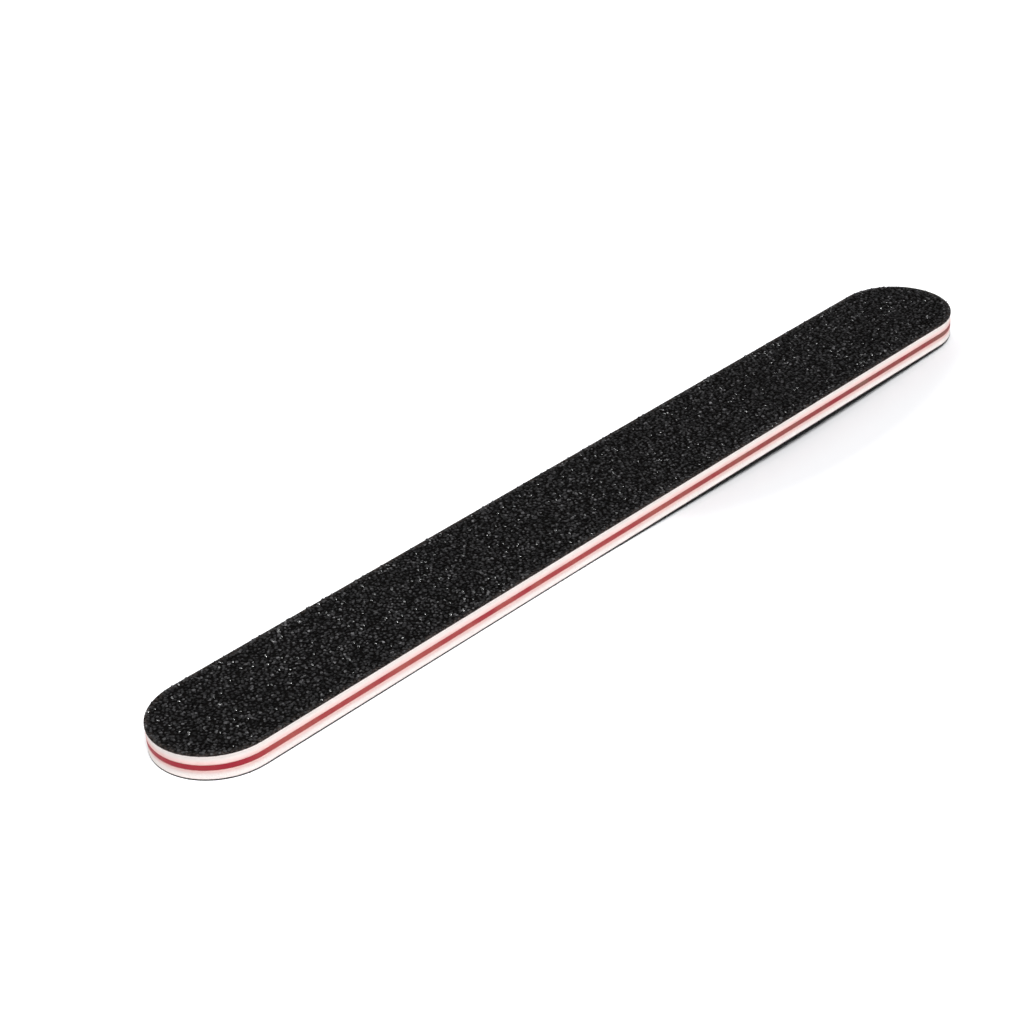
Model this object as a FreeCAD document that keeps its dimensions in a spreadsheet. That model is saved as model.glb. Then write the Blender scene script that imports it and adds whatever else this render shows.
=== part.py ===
import FreeCAD, Part
import math
import os

import Sketcher

# Cushioned nail file: a straight board with full-round ends, cut in one stroke from a laminated sheet.
# A stiff core strip lies in the middle, and on each side of it follow foam, backing paper, the bond
# coat and the grit. X runs along the board, Y across it and Z through its layers. The origin is the
# centre of the lower grit face, which the board lies on.

# Driving dimensions in millimetres, with one share
SIZES = (
    ("board_length", 178.0),
    ("board_width", 20.0),
    ("grit_layer_thickness", 0.12),
    ("bond_coat_thickness", 0.05),
    ("backing_paper_thickness", 0.15),
    ("paper_adhesive_thickness", 0.05),
    ("foam_layer_thickness", 1.38),
    ("core_adhesive_thickness", 0.05),
    ("core_strip_thickness", 0.90),
    ("grit_rim_round", 0.09),
    ("grit_rim_limit_share", 0.9),
    ("foam_edge_land", 0.09),
    ("foam_edge_draw_in", 0.10),
)

# Layers of one side, from the face that files to the layer next to the core
SIDE_LAYERS = (
    ("grit_layer", "grit_layer_thickness"),
    ("bond_coat", "bond_coat_thickness"),
    ("backing_paper", "backing_paper_thickness"),
    ("paper_adhesive", "paper_adhesive_thickness"),
    ("foam_layer", "foam_layer_thickness"),
    ("core_adhesive", "core_adhesive_thickness"),
)

# What several drawings share: the straight run between the two round ends, and half of the board
STRAIGHT_RUN = "Sizes.board_length - Sizes.board_width"
HALF_WIDTH = "Sizes.board_width / 2"
QUARTER_TURN = 90  # degrees

# Points of a drawn line or arc, and the drawing's own origin and X axis
START, END, CENTRE = 1, 2, 3
ORIGIN = (-1, 1)
X_AXIS = -1

doc = FreeCAD.newDocument("NailFile")
sheet = doc.addObject("Spreadsheet::Sheet", "Sizes")
for row, (alias, value) in enumerate(SIZES, start=1):
    sheet.set(f"A{row}", alias)
    sheet.set(f"B{row}", str(value))
    sheet.setAlias(f"B{row}", alias)
doc.recompute()


def origin_plane(body, role):
    """One of the body's own origin planes."""
    return next(item for item in body.Origin.OriginFeatures if item.Role == role)


def add_body(label):
    """An empty body whose label names its piece."""
    body = doc.addObject("PartDesign::Body", label)
    body.Label = label
    return body


def add_sketch(body, name, role):
    """An empty sketch on one of the body's own origin planes."""
    sketch = body.newObject("Sketcher::SketchObject", name)
    sketch.AttachmentSupport = (origin_plane(body, role), [""])
    sketch.MapMode = "FlatFace"
    return sketch


def rule(sketch, *words):
    """A geometric rule between drawn elements, such as tangent or equal."""
    return sketch.addConstraint(Sketcher.Constraint(*words))


def measure(sketch, name, expression, *words):
    """A named measure of the drawing, tied to the driving dimensions."""
    sketch.renameConstraint(rule(sketch, *words), name)
    sketch.setExpression(f"Constraints.{name}", expression)


def draw_board_outline(sketch):
    """Two straight sides joined by two half-circle ends, centred on the origin."""
    end_radius = sheet.board_width / 2
    straight_run = sheet.board_length - sheet.board_width
    quarter = math.radians(QUARTER_TURN)
    east = FreeCAD.Vector(straight_run / 2, 0, 0)
    west = -east
    side = FreeCAD.Vector(0, end_radius, 0)
    upward = FreeCAD.Vector(0, 0, 1)
    east_circle = Part.Circle(east, upward, end_radius)
    west_circle = Part.Circle(west, upward, end_radius)
    front = sketch.addGeometry(Part.LineSegment(west - side, east - side))
    east_end = sketch.addGeometry(Part.ArcOfCircle(east_circle, -quarter, quarter))
    back = sketch.addGeometry(Part.LineSegment(east + side, west + side))
    west_end = sketch.addGeometry(Part.ArcOfCircle(west_circle, quarter, 3 * quarter))
    outline = (front, east_end, back, west_end)
    for first, second in zip(outline, outline[1:] + outline[:1]):
        rule(sketch, "Tangent", first, END, second, START)
    rule(sketch, "Equal", east_end, west_end)
    rule(sketch, "Symmetric", east_end, CENTRE, west_end, CENTRE, *ORIGIN)
    rule(sketch, "PointOnObject", east_end, CENTRE, X_AXIS)
    measure(sketch, "end_radius", HALF_WIDTH, "Radius", east_end, end_radius)
    span = ("DistanceX", west_end, CENTRE, east_end, CENTRE, straight_run)
    measure(sketch, "straight_run", STRAIGHT_RUN, *span)


def draw_foam_section(sketch):
    """Half of the foam's cross-section, from the middle line out to the cut edge.

    The edge springs back from the blade to a shallow hollow, an arc between two upright lands that
    the glue holds. The arc's radius follows from half its chord and from its depth, the draw-in.
    """
    half_width = sheet.board_width / 2
    thickness = sheet.foam_layer_thickness
    land = sheet.foam_edge_land
    low_middle = FreeCAD.Vector(0, 0, 0)
    low_edge = FreeCAD.Vector(half_width, 0, 0)
    low_land = FreeCAD.Vector(half_width, land, 0)
    deepest = FreeCAD.Vector(half_width - sheet.foam_edge_draw_in, thickness / 2, 0)
    high_land = FreeCAD.Vector(half_width, thickness - land, 0)
    high_edge = FreeCAD.Vector(half_width, thickness, 0)
    high_middle = FreeCAD.Vector(0, thickness, 0)
    hollow_arc = Part.ArcOfCircle(high_land, deepest, low_land)
    bottom = sketch.addGeometry(Part.LineSegment(low_middle, low_edge))
    lower_land = sketch.addGeometry(Part.LineSegment(low_edge, low_land))
    hollow = sketch.addGeometry(hollow_arc)
    upper_land = sketch.addGeometry(Part.LineSegment(high_land, high_edge))
    top = sketch.addGeometry(Part.LineSegment(high_edge, high_middle))
    middle = sketch.addGeometry(Part.LineSegment(high_middle, low_middle))
    rule(sketch, "Coincident", bottom, START, *ORIGIN)
    rule(sketch, "Coincident", bottom, END, lower_land, START)
    rule(sketch, "Coincident", lower_land, END, hollow, END)
    rule(sketch, "Coincident", hollow, START, upper_land, START)
    rule(sketch, "Coincident", upper_land, END, top, START)
    rule(sketch, "Coincident", top, END, middle, START)
    rule(sketch, "Coincident", middle, END, bottom, START)
    for level in (bottom, top):
        rule(sketch, "Horizontal", level)
    for upright in (lower_land, upper_land, middle):
        rule(sketch, "Vertical", upright)
    rule(sketch, "Equal", bottom, top)
    rule(sketch, "Equal", lower_land, upper_land)
    reach = ("DistanceX", bottom, START, bottom, END, half_width)
    measure(sketch, "half_width", HALF_WIDTH, *reach)
    rise = ("DistanceY", middle, END, middle, START, thickness)
    measure(sketch, "thickness", "Sizes.foam_layer_thickness", *rise)
    step = ("DistanceY", lower_land, START, lower_land, END, land)
    measure(sketch, "land", "Sizes.foam_edge_land", *step)
    half_chord = "(Sizes.foam_layer_thickness / 2 - Sizes.foam_edge_land)"
    depth = "Sizes.foam_edge_draw_in"
    hollow_radius = f"({half_chord}^2 + {depth}^2) / (2 * {depth})"
    measure(sketch, "hollow_radius", hollow_radius, "Radius", hollow, hollow_arc.Radius)


def stand_on(body, layers_below):
    """Lift a layer by the thickness of every layer below it."""
    if layers_below:
        height = " + ".join(f"Sizes.{below}" for below in layers_below)
        body.setExpression("Placement.Base.z", height)


def add_flat_layer(label, thickness):
    """One flat sheet of the laminate, cut square to the board's outline."""
    body = add_body(label)
    outline = add_sketch(body, f"{label}_outline", "XY_Plane")
    draw_board_outline(outline)
    pad = body.newObject("PartDesign::Pad", f"{label}_pad")
    pad.Profile = outline
    pad.setExpression("Length", f"Sizes.{thickness}")
    doc.recompute()
    return body


def add_foam_layer(label):
    """A foam layer: its half section runs along one side, turns a quarter at each end, and is mirrored."""
    body = add_body(label)
    run_section = add_sketch(body, f"{label}_run_section", "YZ_Plane")
    draw_foam_section(run_section)
    run = body.newObject("PartDesign::Pad", f"{label}_run")
    run.Profile = run_section
    run.SideType = "Symmetric"
    run.setExpression("Length", STRAIGHT_RUN)
    doc.recompute()
    for end, place in (("east", f"({STRAIGHT_RUN}) / 2"), ("west", f"-({STRAIGHT_RUN}) / 2")):
        end_section = add_sketch(body, f"{label}_{end}_section", "YZ_Plane")
        end_section.setExpression("AttachmentOffset.Base.z", place)
        draw_foam_section(end_section)
        turn = body.newObject("PartDesign::Revolution", f"{label}_{end}_turn")
        turn.Profile = end_section
        turn.ReferenceAxis = (end_section, ["V_Axis"])
        turn.Angle = QUARTER_TURN
        turn.Reversed = end == "east"
        doc.recompute()
    mirror = body.newObject("PartDesign::Mirrored", f"{label}_mirror")
    mirror.TransformMode = "Whole shape"
    mirror.MirrorPlane = (origin_plane(body, "XZ_Plane"), [""])
    body.Tip = mirror
    doc.recompute()
    return body


def round_filing_rim(body, on_top):
    """The rim of a grit face, rolled over where the cutting blade pressed on it."""
    pad = body.Tip
    height = pad.Shape.BoundBox.ZMax if on_top else pad.Shape.BoundBox.ZMin
    near = sheet.grit_layer_thickness / 2
    rim = []
    for index, edge in enumerate(pad.Shape.Edges, start=1):
        lies_flat = edge.BoundBox.ZLength < near
        if lies_flat and abs(edge.BoundBox.Center.z - height) < near:
            rim.append(f"Edge{index}")
    fillet = body.newObject("PartDesign::Fillet", f"{body.Name}_rim")
    fillet.Base = (pad, rim)
    limit = "Sizes.grit_layer_thickness * Sizes.grit_rim_limit_share"
    fillet.setExpression("Radius", f"min(Sizes.grit_rim_round; {limit})")
    doc.recompute()


# The laminate, from the lower filing face to the upper one
lower_side = [(f"lower_{name}", thickness) for name, thickness in SIDE_LAYERS]
upper_side = [(f"upper_{name}", thickness) for name, thickness in reversed(SIDE_LAYERS)]
laminate = lower_side + [("core_strip", "core_strip_thickness")] + upper_side

bodies = []
layers_below = []
for label, thickness in laminate:
    if label.endswith("foam_layer"):
        body = add_foam_layer(label)
    else:
        body = add_flat_layer(label, thickness)
    if label.endswith("grit_layer"):
        round_filing_rim(body, on_top=label.startswith("upper"))
    stand_on(body, layers_below)
    bodies.append(body)
    layers_below.append(thickness)

# Nothing is written unless every feature is built and every piece is one sound solid
doc.recompute()
failed = [item.Label for item in doc.Objects if "Invalid" in item.State or "Error" in item.State]
if failed:
    raise RuntimeError(f"not built: {failed}")
for body in bodies:
    if body.Shape.isNull() or not body.Shape.isValid() or len(body.Shape.Solids) != 1:
        raise RuntimeError(f"not one sound solid: {body.Label}")

os.makedirs("parts", exist_ok=True)
for body in bodies:
    body.Shape.exportStep(f"parts/{body.Label}.step")
    box = body.Shape.optimalBoundingBox()
    print(f"{body.Label}: z {box.ZMin:.3f} to {box.ZMax:.3f} mm, volume {body.Shape.Volume:.2f} mm3")
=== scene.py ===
# %% [markdown]
# # A cushioned nail file
# The board is a sandwich cut out with one stroke of a blade: a red plastic strip in the middle, white
# foam on both sides of it, and black grit paper on the outside. Nothing on it moves. The CAD frame
# holds the layers at their real sizes, and this lesson makes the surfaces that the eye meets: the cut
# edge of each layer, and the grains on both faces.
#
# Everything is in metres and in the frame's own axes: X along the board, Y across it, Z up.

import math

import bmesh
import bpy
import numpy as np
from mathutils import Matrix, Vector


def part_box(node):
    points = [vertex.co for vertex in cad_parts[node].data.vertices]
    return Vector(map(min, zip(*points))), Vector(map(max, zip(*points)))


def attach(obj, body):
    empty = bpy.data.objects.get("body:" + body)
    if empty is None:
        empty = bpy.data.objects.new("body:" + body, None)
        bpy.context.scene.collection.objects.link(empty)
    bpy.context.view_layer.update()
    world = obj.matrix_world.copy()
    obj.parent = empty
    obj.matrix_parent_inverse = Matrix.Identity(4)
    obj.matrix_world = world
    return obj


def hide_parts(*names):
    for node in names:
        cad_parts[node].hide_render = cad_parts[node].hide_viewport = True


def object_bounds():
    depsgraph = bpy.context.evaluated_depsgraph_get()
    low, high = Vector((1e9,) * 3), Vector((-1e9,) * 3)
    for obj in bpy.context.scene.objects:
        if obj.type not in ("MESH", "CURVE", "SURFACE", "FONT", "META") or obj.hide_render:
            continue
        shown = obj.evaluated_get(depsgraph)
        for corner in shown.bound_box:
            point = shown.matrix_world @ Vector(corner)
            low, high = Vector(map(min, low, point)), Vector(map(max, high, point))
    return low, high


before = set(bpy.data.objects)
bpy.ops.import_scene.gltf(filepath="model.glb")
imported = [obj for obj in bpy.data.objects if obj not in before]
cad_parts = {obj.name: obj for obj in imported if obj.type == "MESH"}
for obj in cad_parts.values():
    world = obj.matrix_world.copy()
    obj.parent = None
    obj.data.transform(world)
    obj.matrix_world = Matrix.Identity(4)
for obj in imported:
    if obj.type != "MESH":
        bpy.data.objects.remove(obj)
cad_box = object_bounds()
print("layers in the frame:", ", ".join(sorted(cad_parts)))

# %% [markdown]
# ## Sizes
# The frame already knows how large the board is, so the sizes are read from it. Only what the solids
# leave out, such as the size of a grain, gets a value of its own later, where it is first needed.

# %% Read the board's sizes
MM = 0.001
core_low, core_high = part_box("core_strip")
BOARD_LENGTH = core_high[0] - core_low[0]
BOARD_WIDTH = core_high[1] - core_low[1]
END_RADIUS = BOARD_WIDTH / 2
STRAIGHT_RUN = BOARD_LENGTH - BOARD_WIDTH
BOARD_TOP = cad_box[1][2]
BOARD_MIDDLE = (core_low[2] + core_high[2]) / 2


def layer_span(node):
    """Lowest and highest Z of one layer."""
    low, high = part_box(node)
    return low[2], high[2]


print(f"board {BOARD_LENGTH / MM:.1f} by {BOARD_WIDTH / MM:.1f} mm, {BOARD_TOP / MM:.2f} mm thick")

# %% [markdown]
# ## One outline for every layer
# All layers share the outline that the blade cut: two straight sides and two half-circle ends. A
# drawing program would trace it as a curve. Here it is a row of stations, each with an anchor on the
# board's middle line and a direction that points straight out from there to the rim. Going out from
# the anchor by the end radius always lands on the outline, and going out by less gives the same
# outline drawn in, so the straight sides and the round ends need no separate treatment.


# %% Stations round the outline
def board_stations(spacing):
    """Anchors and directions round the outline, anticlockwise from above, about spacing apart.

    The distance s runs along the front side, round the east end, along the back side and round the
    west end. The anchor's x grows with s on the front side and shrinks on the back side, and stands
    still on the ends. The direction's angle grows with s on the ends and stands still on the sides.
    """
    bend = math.pi * END_RADIUS
    on_side = np.linspace(0, STRAIGHT_RUN, round(STRAIGHT_RUN / spacing), endpoint=False)
    on_bend = np.linspace(0, bend, round(bend / spacing), endpoint=False)
    half_lap = np.concatenate([on_side, STRAIGHT_RUN + on_bend])
    half_way = STRAIGHT_RUN + bend
    s = np.concatenate([half_lap, half_way + half_lap])
    forth = np.clip(s, 0, STRAIGHT_RUN)
    back = np.clip(s - half_way, 0, STRAIGHT_RUN)
    turned = np.clip(s - STRAIGHT_RUN, 0, bend) + np.clip(s - half_way - STRAIGHT_RUN, 0, bend)
    angle = turned / END_RADIUS - math.pi / 2
    anchor = np.stack([forth - back - STRAIGHT_RUN / 2, np.zeros_like(s)], axis=1)
    direction = np.stack([np.cos(angle), np.sin(angle)], axis=1)
    return anchor, direction


anchor, direction = board_stations(1 * MM)
reach = (anchor + direction * END_RADIUS).max(axis=0) / MM
print(f"{len(anchor)} stations at 1 mm, reaching x {reach[0]:.1f} and y {reach[1]:.1f} mm")

# %% [markdown]
# ## From a profile to a closed skin
# A layer is its profile carried round the outline. The profile starts on the middle line at the
# bottom, runs out to the rim, climbs the cut edge and runs back to the middle line on top. That gives
# one grid of points with stations one way and profile rows the other. The rows on the middle line fall
# together from both sides, so merging doubles closes the skin there.
#
# The board is the same on both sides, so a lower layer is an upper one turned over about the board's
# long axis, with its own random seed.
#
# Each skin also gets a UV map that lays the long, narrow grid out in stacked strips. The patterns
# don't need it, because they read the object's own coordinates. It is there for the bake at export.

# %% Mesh from arrays
BAKE_MAP = "OFBake"


def new_piece(name, points, corners, corner_counts, uv):
    """A mesh object from arrays: points, the corner list of its faces, and one UV place per corner."""
    mesh = bpy.data.meshes.new(name)
    mesh.vertices.add(len(points))
    mesh.vertices.foreach_set("co", np.ascontiguousarray(points, dtype=np.float32).ravel())
    mesh.loops.add(len(corners))
    mesh.loops.foreach_set("vertex_index", np.ascontiguousarray(corners, dtype=np.int32))
    mesh.polygons.add(len(corner_counts))
    starts = np.cumsum(corner_counts) - corner_counts
    mesh.polygons.foreach_set("loop_start", starts.astype(np.int32))
    mesh.update(calc_edges=True)
    mesh.uv_layers.new(name=BAKE_MAP).uv.foreach_set("vector", uv.astype(np.float32).ravel())
    piece = bpy.data.objects.new(name, mesh)
    bpy.context.scene.collection.objects.link(piece)
    return piece


def turn_over(points):
    """Half a turn about the board's long axis: y to minus y, and z to the other side of the middle."""
    return points * [1, -1, -1] + [0, 0, 2 * BOARD_MIDDLE]


print("pieces get a bake map named", BAKE_MAP)

# %% Skin from a profile
QUAD = 4
MERGE_WITHIN = 1e-4 * MM


def layer_skin(name, stations, inset, height, strips, lower=False):
    """A closed skin from a profile that is carried round the outline.

    inset and height have one row per station and one column per point of the profile. A point lies
    at the anchor plus the direction times what is left of the end radius after the inset.
    """
    anchor, direction = stations
    flat = anchor[:, None, :] + direction[:, None, :] * (END_RADIUS - inset)[:, :, None]
    points = np.concatenate([flat, height[:, :, None]], axis=2)
    points = turn_over(points) if lower else points
    count, rows = inset.shape
    station, row = np.meshgrid(np.arange(count), np.arange(rows - 1), indexing="ij")
    along = np.stack([station, station + 1, station + 1, station], axis=2)
    across = np.stack([row, row, row + 1, row + 1], axis=2)
    corners = (along % count) * rows + across
    per_strip = math.ceil(count / strips)
    strip = (station // per_strip)[:, :, None]
    u = (along - strip * per_strip) / per_strip
    v = (strip + across / (rows - 1)) / strips
    uv = np.stack([u, v], axis=3)
    corner_counts = np.full(corners.size // QUAD, QUAD)
    piece = new_piece(name, points.reshape(-1, 3), corners.ravel(), corner_counts, uv)
    merge_middle(piece.data)
    print(f"{name}: {count} stations by {rows} rows, {len(piece.data.polygons)} faces")
    return piece


def merge_middle(mesh):
    """Joins the points that fall together on the middle line."""
    working = bmesh.new()
    working.from_mesh(mesh)
    bmesh.ops.remove_doubles(working, verts=working.verts, dist=MERGE_WITHIN)
    working.to_mesh(mesh)
    working.free()


def settle(piece, slot, material, *nodes):
    """Puts a finished piece on the board: it rides on the one body and stands for these layers."""
    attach(piece, "root")
    piece.data.materials.append(material)
    if nodes:
        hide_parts(*nodes)


print(f"points on the middle line are joined within {MERGE_WITHIN / MM:g} mm")

# %% [markdown]
# ## Small unevenness
# No cut edge is a perfect sheet. Two random reliefs do all of it. The first is a sum of plane waves
# whose directions and phases are drawn at random: smooth, with no seam anywhere, and as coarse as the
# size that is asked for. The second scatters one point in each cube of a lattice and measures how far
# the nearest one is, which makes round cells lying side by side, as in foam.

# %% Random waves
WAVE_LENGTHS = (0.7, 1.5)


def ripple(points, size, seed, waves=20):
    """Smooth relief with a spread of about 1: the scaled sum of cosines of k times p plus a phase."""
    rng = np.random.default_rng(seed)
    heading = rng.normal(size=(waves, 3))
    heading /= np.linalg.norm(heading, axis=1, keepdims=True)
    k = heading * (2 * math.pi / (size * rng.uniform(*WAVE_LENGTHS, (waves, 1))))
    phase = rng.uniform(0, 2 * math.pi, waves)
    total = np.zeros(points.shape[:-1])
    for one_k, one_phase in zip(k, phase):
        total += np.cos(points @ one_k + one_phase)
    return total * math.sqrt(2 / waves)


probe = np.random.default_rng(1).uniform(-5, 5, (4000, 3)) * MM
print(f"ripple spread {ripple(probe, 0.3 * MM, 1).std():.2f}")

# %% Random cells
# Large steps with no common measure, so that neighbouring cubes get unlike numbers
LATTICE_STEPS = np.array([127.1, 311.7, 74.7])
LATTICE_BOOST = 43758.5453
AXIS_SALTS = (0.0, 17.3, 41.9)


def lattice_noise(cube, salt):
    """One number from 0 to 1 for each cube of a lattice: the fraction of a large sine."""
    mixed = cube @ LATTICE_STEPS + salt
    return np.modf(np.abs(np.sin(mixed) * LATTICE_BOOST))[0]


def nearest_cell(points, size):
    """Distance to the nearest scattered cell middle, in cell sizes, over the 27 cubes around a point."""
    scaled = points / size
    home = np.floor(scaled)
    nearest = np.full(points.shape[:-1], np.inf)
    for step in np.ndindex(3, 3, 3):
        cube = home + (np.array(step) - 1)
        middle = cube + np.stack([lattice_noise(cube, salt) for salt in AXIS_SALTS], axis=-1)
        nearest = np.minimum(nearest, np.linalg.norm(scaled - middle, axis=-1))
    return nearest


print(f"mean distance to a cell's middle {nearest_cell(probe, 0.2 * MM).mean():.2f} cell sizes")

# %% [markdown]
# ## Colours and nodes
# Colours are written as the hex values that a paint program shows. Blender's shaders count light in
# linear steps, so one function turns a hex value into linear red, green and blue. One more adds a node
# with its settings and links, so that a material reads as a short list.

# %% Helpers for materials
# The Mix node has a set of sockets for each kind of data. For colours these are its numbers.
MIX_BY, MIX_A, MIX_B, MIXED = 0, 6, 7, 2


def linear(hex_colour):
    """sRGB hex to linear RGBA: a straight line near black and a power curve above it."""
    channels = np.array([int(hex_colour[i : i + 2], 16) for i in (1, 3, 5)]) / 255
    curve = np.where(channels <= 0.04045, channels / 12.92, ((channels + 0.055) / 1.055) ** 2.4)
    return (*curve.tolist(), 1.0)


def add_node(tree, kind, inputs=None, **settings):
    """Adds a node. settings are its own switches; inputs are values, or outputs of other nodes."""
    node = tree.nodes.new(kind)
    for name, value in settings.items():
        setattr(node, name, value)
    for socket, value in (inputs or {}).items():
        if isinstance(value, bpy.types.NodeSocket):
            tree.links.new(value, node.inputs[socket])
        else:
            node.inputs[socket].default_value = value
    return node


def new_material(name):
    """A material with an empty node tree, and that tree."""
    material = bpy.data.materials.new(name)
    material.use_nodes = True
    material.node_tree.nodes.clear()
    return material, material.node_tree


def scale_for(size):
    """Scale of a noise pattern on metre coordinates whose features are about this size."""
    return 1 / size


print("foam white in linear light:", [round(c, 3) for c in linear("#FAF0EC")[:3]])

# %% [markdown]
# ## Polystyrene
# The strip that makes the board stiff is sheet polystyrene, coloured right through. It is hard and a
# little glossy, with an index of refraction of 1.59. Only its cut edge shows. The blade leaves fine
# upright drag lines there, so the noise that drives roughness and bump is stretched in Z.
#
# Dust from the cut dulls the red in clouds. Handling has wiped most of it off the west end, and towards
# the east end there is more brown paper in it, so both its share and its colour follow the object's X.

# %% Dust on the core
DUST_CLOUD = 4 * MM
CLOUD_FROM, CLOUD_TO = 0.2, 0.65
WIPED_TO = 4 * MM - STRAIGHT_RUN / 2
WIPED_WIDTH = 8 * MM
WIPED_SHARE = 0.25
BROWN_FROM, BROWN_TO = -10 * MM, 55 * MM
polystyrene, tree = new_material("polystyrene_red")
place = add_node(tree, "ShaderNodeTexCoord").outputs["Object"]
along = add_node(tree, "ShaderNodeSeparateXYZ", {"Vector": place}).outputs["X"]
dust = add_node(
    tree,
    "ShaderNodeTexNoise",
    {"Vector": place, "Scale": scale_for(DUST_CLOUD), "Detail": 3},
)
clouds = add_node(
    tree,
    "ShaderNodeMapRange",
    {"Value": dust.outputs["Fac"], "From Min": CLOUD_FROM, "From Max": CLOUD_TO},
)
left_on = add_node(
    tree,
    "ShaderNodeMapRange",
    {"Value": along, "From Min": WIPED_TO - WIPED_WIDTH, "From Max": WIPED_TO, "To Min": WIPED_SHARE},
)
dusty = add_node(
    tree,
    "ShaderNodeMath",
    {0: clouds.outputs["Result"], 1: left_on.outputs["Result"]},
    operation="MULTIPLY",
)
paper_share = add_node(
    tree,
    "ShaderNodeMapRange",
    {"Value": along, "From Min": BROWN_FROM, "From Max": BROWN_TO},
)
dust_colour = add_node(
    tree,
    "ShaderNodeMix",
    {MIX_BY: paper_share.outputs["Result"], MIX_A: linear("#AE564F"), MIX_B: linear("#895C51")},
    data_type="RGBA",
)
red = add_node(
    tree,
    "ShaderNodeMix",
    {MIX_BY: dusty.outputs[0], MIX_A: linear("#A31A32"), MIX_B: dust_colour.outputs[MIXED]},
    data_type="RGBA",
)
print(f"dust lies from x {WIPED_TO / MM:.0f} mm on, and is brownest from x {BROWN_TO / MM:.0f} mm on")

# %% Material of the core
DRAG_LINE = 0.35 * MM
UPRIGHT = (1.0, 1.0, 0.08)
upright = add_node(tree, "ShaderNodeMapping", {"Vector": place, "Scale": UPRIGHT}).outputs["Vector"]
lines = add_node(
    tree,
    "ShaderNodeTexNoise",
    {"Vector": upright, "Scale": scale_for(DRAG_LINE), "Detail": 3},
)
gloss = add_node(
    tree,
    "ShaderNodeMapRange",
    {"Value": lines.outputs["Fac"], "To Min": 0.45, "To Max": 0.7},
)
bump = add_node(
    tree,
    "ShaderNodeBump",
    {"Height": lines.outputs["Fac"], "Strength": 0.5, "Distance": 0.01 * MM},
)
shader = add_node(
    tree,
    "ShaderNodeBsdfPrincipled",
    {
        "Base Color": red.outputs[MIXED],
        "Roughness": gloss.outputs["Result"],
        "IOR": 1.59,
        # The drag lines break up most of the gloss.
        "Specular IOR Level": 0.15,
        "Normal": bump.outputs["Normal"],
    },
)
add_node(tree, "ShaderNodeOutputMaterial", {"Surface": shader.outputs["BSDF"]})
print("made", polystyrene.name)

# %% [markdown]
# ## Red core strip
# The CAD solid is a plain slab with sharp arrises. The real edge is very slightly rounded at both
# arrises and carries the drag lines as real, shallow grooves, so a new skin replaces the slab. The
# grooves are a ripple whose Z is squeezed in the same way as in the material.


# %% Profile of a cut edge
def rounded_edge(low, high, rows, round_off):
    """Inset and height of a cut edge with rounded arrises, from the bottom row to the top row.

    The height runs evenly. Near a face the inset is a quarter circle's: round_off less the root of
    round_off squared less the square of how far the row has come into the rounding.
    """
    height = np.linspace(low, high, rows)
    to_face = np.minimum(height - low, high - height)
    into = np.clip(round_off - to_face, 0, round_off)
    return round_off - np.sqrt(round_off**2 - into**2), height


def edge_points(stations, height):
    """Points of the upright cut edge at one row of heights, for reading a relief there."""
    anchor, direction = stations
    rim = anchor + direction * END_RADIUS
    wide = np.broadcast_to(rim[:, None, :], (len(rim), len(height), 2))
    tall = np.broadcast_to(height[None, :, None], (len(rim), len(height), 1))
    return np.concatenate([wide, tall], axis=2)


def close_profile(inset, height):
    """Adds the bottom and the top of a profile, which both run back to the middle line."""
    middle = np.full((len(inset), 1), END_RADIUS)
    inset = np.concatenate([middle, inset, middle], axis=1)
    height = np.concatenate([height[:1], height, height[-1:]])
    return inset, np.broadcast_to(height, inset.shape)


example = rounded_edge(0, 1 * MM, 5, 0.3 * MM)[0]
print("inset of a 1 mm edge rounded by 0.3 mm, in mm:", [round(float(v) / MM, 3) for v in example])

# %% Core strip
CORE_STEP = 0.2 * MM
CORE_ROWS = 9
CORE_ROUND = 0.05 * MM
DRAG_DEPTH = 0.006 * MM
stations = board_stations(CORE_STEP)
inset, height = rounded_edge(*layer_span("core_strip"), CORE_ROWS, CORE_ROUND)
drag = ripple(edge_points(stations, height) * UPRIGHT, DRAG_LINE, seed=11)
inset = inset + DRAG_DEPTH * (1 + drag)
core = layer_skin("core_strip_cut", stations, *close_profile(inset, height), strips=12)
settle(core, "core", polystyrene, "core_strip")

# %% [markdown]
# ## Closed-cell foam
# The cushions are white polyethylene foam. A cut through it opens thousands of small cells, which look
# like matt, soft-edged pits. Cells that are too small to model are drawn by the bump. Next to the core
# the white is painted with a pink tinge: partly red dust, and partly a painted reflection of the light
# that the red throws back. So the tint follows the height above or below the board's middle.

# %% Material of the foam
FOAM_CELL = 0.26 * MM
TINT_REACH = 1.0 * MM
TINT_SHARE = 0.68
TINT_SMEAR = 1.2 * MM
core_half = (core_high[2] - core_low[2]) / 2
foam_white, tree = new_material("closed_cell_foam_white")
place = add_node(tree, "ShaderNodeTexCoord").outputs["Object"]
height_of = add_node(tree, "ShaderNodeSeparateXYZ", {"Vector": place}).outputs["Z"]
off_middle = add_node(tree, "ShaderNodeMath", {0: height_of, 1: BOARD_MIDDLE}, operation="SUBTRACT")
from_middle = add_node(tree, "ShaderNodeMath", {0: off_middle.outputs[0]}, operation="ABSOLUTE")
# Painted pink reflection of the red core, with some red dust, strongest next to the core.
tinge = add_node(
    tree,
    "ShaderNodeMapRange",
    {
        "Value": from_middle.outputs[0],
        "From Min": core_half,
        "From Max": core_half + TINT_REACH,
        "To Min": TINT_SHARE,
        "To Max": 0.0,
    },
    interpolation_type="SMOOTHERSTEP",
)
smear = add_node(
    tree,
    "ShaderNodeTexNoise",
    {"Vector": place, "Scale": scale_for(TINT_SMEAR), "Detail": 3},
)
uneven = add_node(
    tree,
    "ShaderNodeMapRange",
    {"Value": smear.outputs["Fac"], "To Min": 0.7, "To Max": 1.3},
)
tint = add_node(
    tree,
    "ShaderNodeMath",
    {0: tinge.outputs["Result"], 1: uneven.outputs["Result"]},
    operation="MULTIPLY",
)
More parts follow.
